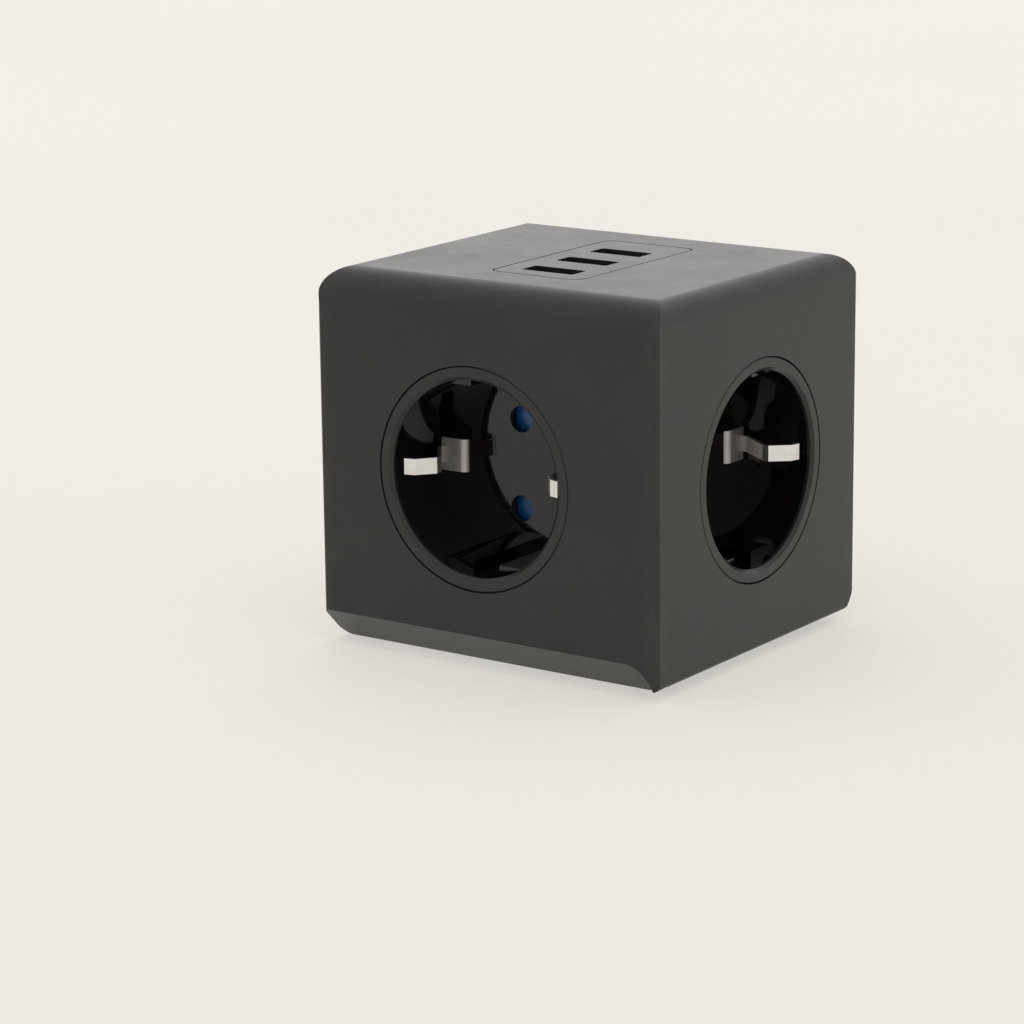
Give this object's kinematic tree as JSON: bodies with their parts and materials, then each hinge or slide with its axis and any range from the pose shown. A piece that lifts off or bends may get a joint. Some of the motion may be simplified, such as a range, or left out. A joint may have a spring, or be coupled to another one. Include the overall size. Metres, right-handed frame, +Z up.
{
  "type": "multi socket adapter",
  "caption": "Cube-shaped plug-in mains adapter with shuttered earthed round sockets on its sides, a panel of charging ports on top and an earthed plug on the back.",
  "frame": {"origin": "middle of the housing's flat underside", "axes": "+Z up, front socket faces -Y, the plug points along +Y, +X to the right seen from the front"},
  "size_m": [0.0844, 0.1141, 0.0802],
  "materials": {
    "board_green": "solder mask",
    "body_grey": "fine matt moulded texture",
    "capacitor_sleeve": "shrink sleeve",
    "carrier_ivory": "moulded",
    "chip_black": "moulded",
    "contact_gold": "gold flash",
    "core_ferrite": "sintered",
    "cup_black": "high gloss",
    "earth_nickel": "nickel plated",
    "fuse_tan": "glazed",
    "lead_live": "extruded sleeve",
    "lead_neutral": "extruded sleeve",
    "pin_nickel": "nickel plated",
    "plug_black": "satin",
    "port_black": "satin",
    "rail_brass": "stamped",
    "screw_steel": "zinc plated",
    "shell_nickel": "nickel plated",
    "shutter_blue": "satin gloss",
    "spring_steel": "drawn wire",
    "winding_tape": "wrapped film"
  },
  "bodies": {
    "adapter": {"board_fuse": "fuse_tan", "board_screws": "screw_steel", "bridge_rectifier": "chip_black", "carrier_screws": "screw_steel", "circuit_board": "board_green", "controller_chip": "chip_black", "cover_screws": "screw_steel", "earth_rail": "rail_brass", "front_bezel_ring": "body_grey", "front_contact_carrier": "carrier_ivory", "front_earth_spring": "earth_nickel", "front_live_contact": "rail_brass", "front_neutral_contact": "rail_brass", "front_port_contacts": "contact_gold", "front_port_shell": "shell_nickel", "front_port_tongue": "port_black", "front_shutter_spring": "spring_steel", "front_socket_cup": "cup_black", "housing": "body_grey", "input_capacitor": "capacitor_sleeve", "left_bezel_ring": "body_grey", "left_contact_carrier": "carrier_ivory", "left_earth_spring": "earth_nickel", "left_live_contact": "rail_brass", "left_neutral_contact": "rail_brass", "left_shutter_spring": "spring_steel", "left_socket_cup": "cup_black", "live_lead": "lead_live", "live_rail": "rail_brass", "middle_port_contacts": "contact_gold", "middle_port_shell": "shell_nickel", "middle_port_tongue": "port_black", "neutral_lead": "lead_neutral", "neutral_rail": "rail_brass", "output_capacitor": "capacitor_sleeve", "plug_body": "plug_black", "plug_earth_strap": "earth_nickel", "plug_pin_live": "pin_nickel", "plug_pin_neutral": "pin_nickel", "plug_screws": "screw_steel", "port_panel": "body_grey", "rear_cover": "body_grey", "rear_port_contacts": "contact_gold", "rear_port_shell": "shell_nickel", "rear_port_tongue": "port_black", "right_bezel_ring": "body_grey", "right_contact_carrier": "carrier_ivory", "right_earth_spring": "earth_nickel", "right_live_contact": "rail_brass", "right_neutral_contact": "rail_brass", "right_shutter_spring": "spring_steel", "right_socket_cup": "cup_black", "transformer_core": "core_ferrite", "transformer_winding": "winding_tape"},
    "front_shutter_body": {"front_shutter": "shutter_blue"},
    "right_shutter_body": {"right_shutter": "shutter_blue"},
    "left_shutter_body": {"left_shutter": "shutter_blue"}
  },
  "joints": [
    {"name": "front_shutter_turn", "type": "hinge", "parent": "adapter", "child": "front_shutter_body", "pos_m": [-0.0028, -0.01745, 0.04], "axis": [0, -1, 0], "range_deg": [0, 45], "stiffness_Nm_per_rad": 0.001, "springref_deg": -28.65},
    {"name": "right_shutter_turn", "type": "hinge", "parent": "adapter", "child": "right_shutter_body", "pos_m": [0.0207, 0.0003, 0.04], "axis": [1, 0, 0], "range_deg": [0, 45], "stiffness_Nm_per_rad": 0.001, "springref_deg": -28.65},
    {"name": "left_shutter_turn", "type": "hinge", "parent": "adapter", "child": "left_shutter_body", "pos_m": [-0.0207, 0.0028, 0.04], "axis": [-1, 0, 0], "range_deg": [0, 45], "stiffness_Nm_per_rad": 0.001, "springref_deg": -28.65}
  ]
}
